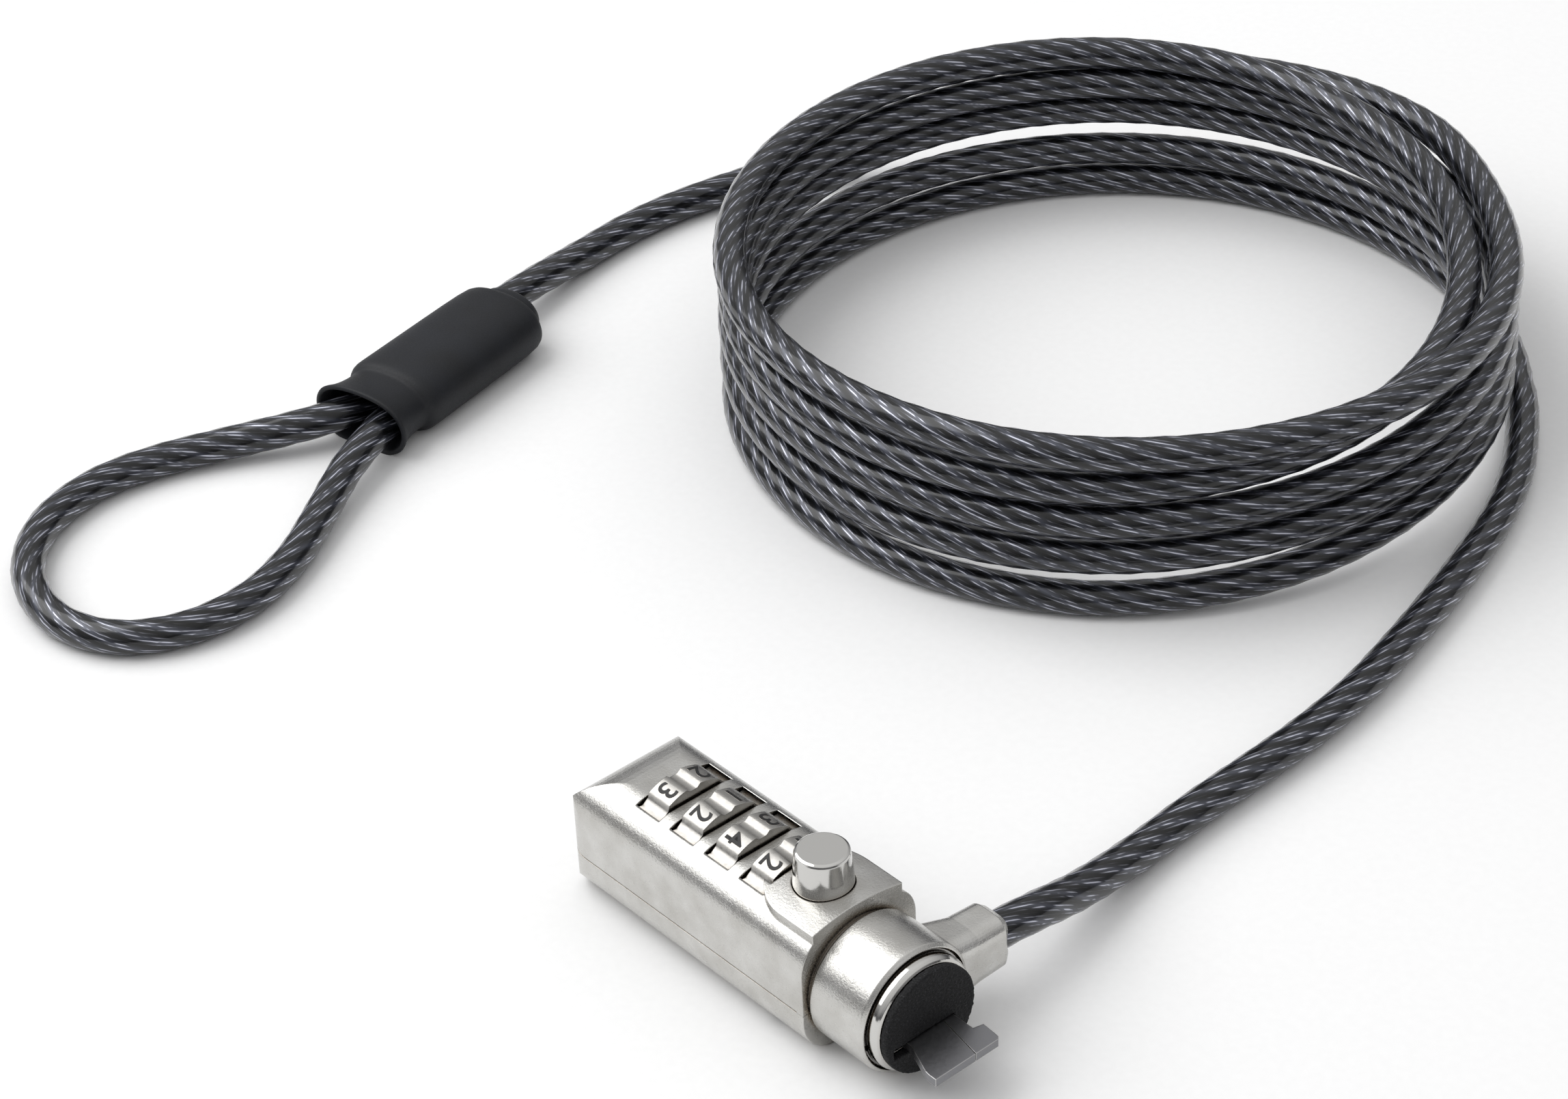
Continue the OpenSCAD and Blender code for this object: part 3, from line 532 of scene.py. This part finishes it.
turned_brass = blank("turned_brass")
where = add(turned_brass, "TexCoord", out="Object")
brass_marks = add(turned_brass, "TexWave", {"Vector": where, "Scale": 2200, "Distortion": 1},
                  bands_direction="X", out="Fac")
brass_shine = add(turned_brass, "MapRange", {0: brass_marks, 3: 0.2, 4: 0.36})
surface = add(turned_brass, "BsdfPrincipled", {
    "Base Color": linear("#c9a765"), "Metallic": 1.0, "Roughness": brass_shine})
add(turned_brass, "OutputMaterial", {0: surface})
dress(turned_brass, *(f"code_sleeve_{i}" for i in (1, 2, 3, 4)))

# ---------- dials ----------
# Four die-cast wheels, chromed, each with ten flats between ten finger grooves. The digits are black
# enamel that stands a hair above each flat. One wheel is made, and the others are turned copies of it.

dial_at = (-8.4 * MM, 0, 9.9 * MM)
dial_pitch = 5.6 * MM
dial_r = 7.3 * MM
first_digits = (3, 2, 4, 2)
flat_angle = 36
first_flat_angle = 18

dial_chrome = blank("worn_chrome_plate")
where = add(dial_chrome, "TexCoord", out="Object")
wheel_edge = add(dial_chrome, "Bevel", {"Radius": 0.1 * MM}, samples=8)
handling = add(dial_chrome, "TexNoise", {"Vector": where, "Scale": 1600, "Detail": 4})
# Painted shade: the wheel's colour darkens to dark brown where ambient occlusion finds grooves and corners.
wheel_corner = add(dial_chrome, "AmbientOcclusion", {"Distance": 0.7 * MM}, out="AO", samples=8)
wheel_tone_and_painted_shade = add(dial_chrome, "ValToRGB", {0: wheel_corner}, stops=[
    (0.1, "#4f4134"), (0.45, "#8a7f72"), (0.8, "#a9a6a1"), (1.0, "#b1afab")])
wheel_shine = add(dial_chrome, "MapRange", {0: handling, 1: 0.35, 2: 0.7, 3: 0.24, 4: 0.38})
wheel_relief = add(dial_chrome, "Bump", {
    "Strength": 0.4, "Distance": 0.008 * MM, "Height": handling, "Normal": wheel_edge})
surface = add(dial_chrome, "BsdfPrincipled", {
    "Base Color": wheel_tone_and_painted_shade, "Metallic": 1.0, "Roughness": wheel_shine, "Normal": wheel_relief})
add(dial_chrome, "OutputMaterial", {0: surface})

enamel = blank("black_enamel_fill")
where = add(enamel, "TexCoord", out="Object")
brushing = add(enamel, "TexNoise", {"Vector": where, "Scale": 3000, "Detail": 2})
enamel_shine = add(enamel, "MapRange", {0: brushing, 3: 0.35, 4: 0.6})
enamel_tone = add(enamel, "ValToRGB", {0: brushing}, stops=[(0.3, "#060606"), (0.8, "#141415")])
surface = add(enamel, "BsdfPrincipled", {"Base Color": enamel_tone, "Roughness": enamel_shine})
add(enamel, "OutputMaterial", {0: surface})

bpy.ops.object.select_all(action="DESELECT")
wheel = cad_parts["dial_ring_1"].copy()
wheel.data = wheel.data.copy()
wheel.parent = None
bpy.context.collection.objects.link(wheel)
wheel.name = "dial_1"
wheel.data.materials.clear()
wheel.data.materials.append(dial_chrome)
wheel.data.materials.append(enamel)
wheel.select_set(True)
bpy.context.view_layer.objects.active = wheel
bpy.ops.object.mode_set(mode="EDIT")
bpy.ops.mesh.select_all(action="SELECT")
bpy.ops.mesh.remove_doubles(threshold=0.001 * MM)
bpy.ops.mesh.dissolve_limited(angle_limit=math.radians(0.5))
bpy.ops.object.mode_set(mode="OBJECT")

enamel_half = 0.1 * MM
enamel_proud = 0.03 * MM
for digit in range(10):
    bpy.ops.object.select_all(action="DESELECT")
    bpy.ops.object.text_add(location=(0, 0, 0))
    numeral = bpy.context.object
    numeral.data.body = str(digit)
    numeral.data.align_x = "CENTER"
    numeral.data.align_y = "CENTER"
    numeral.data.size = 3.5 * MM
    numeral.data.offset = 0.02 * MM
    numeral.data.extrude = enamel_half
    numeral.data.resolution_u = 4
    bpy.ops.object.convert(target="MESH")
    numeral = bpy.context.object
    bpy.ops.object.mode_set(mode="EDIT")
    bpy.ops.mesh.select_all(action="SELECT")
    bpy.ops.mesh.remove_doubles(threshold=0.002 * MM)
    bpy.ops.mesh.normals_make_consistent(inside=False)
    bpy.ops.object.mode_set(mode="OBJECT")
    xs = [v.co.x for v in numeral.data.vertices]
    ys = [v.co.y for v in numeral.data.vertices]
    centre = Matrix.Translation((-(max(xs) + min(xs)) / 2, -(max(ys) + min(ys)) / 2, 0))
    lift = Matrix.Translation((0, 0, dial_r + enamel_proud - enamel_half))
    turn = Matrix.Rotation(math.radians(first_flat_angle + flat_angle * (digit - first_digits[0])), 4, "X")
    upright = Matrix.Rotation(-math.pi / 2, 4, "Z")
    numeral.data.transform(Matrix.Translation(dial_at) @ turn @ lift @ upright @ centre)
    numeral.data.materials.clear()
    numeral.data.materials.append(enamel)
    bpy.ops.object.select_all(action="DESELECT")
    numeral.select_set(True)
    wheel.select_set(True)
    bpy.context.view_layer.objects.active = wheel
    bpy.ops.object.join()
bpy.ops.object.shade_smooth_by_angle(angle=math.radians(25))

for i, first in enumerate(first_digits):
    if i == 0:
        dial = wheel
    else:
        dial = wheel.copy()
        dial.data = wheel.data.copy()
        dial.name = f"dial_{i + 1}"
        bpy.context.collection.objects.link(dial)
        turn = Matrix.Rotation(math.radians(flat_angle * (first_digits[0] - first)), 4, "X")
        to_place = Matrix.Translation((dial_at[0] + i * dial_pitch, 0, dial_at[2]))
        dial.data.transform(to_place @ turn @ Matrix.Translation((-dial_at[0], 0, -dial_at[2])))
    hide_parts(f"dial_ring_{i + 1}")
    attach(dial, f"dial_{i + 1}")

# ---------- shells ----------
# Two zinc castings, screwed together from below over the dial frame, plated and blasted like the collar.

dress(satin_nickel, "upper_shell", "lower_shell")

# ---------- button ----------
# A turned steel plunger, chromed and polished, that draws the wide blade back when it is pressed.

dress(polished_chrome, "button")

# ---------- reset screw ----------
# A slotted steel screw in the underside. A quarter turn frees the dials from their sleeves, to set a
# new code.

dress(turned_steel, "reset_screw")
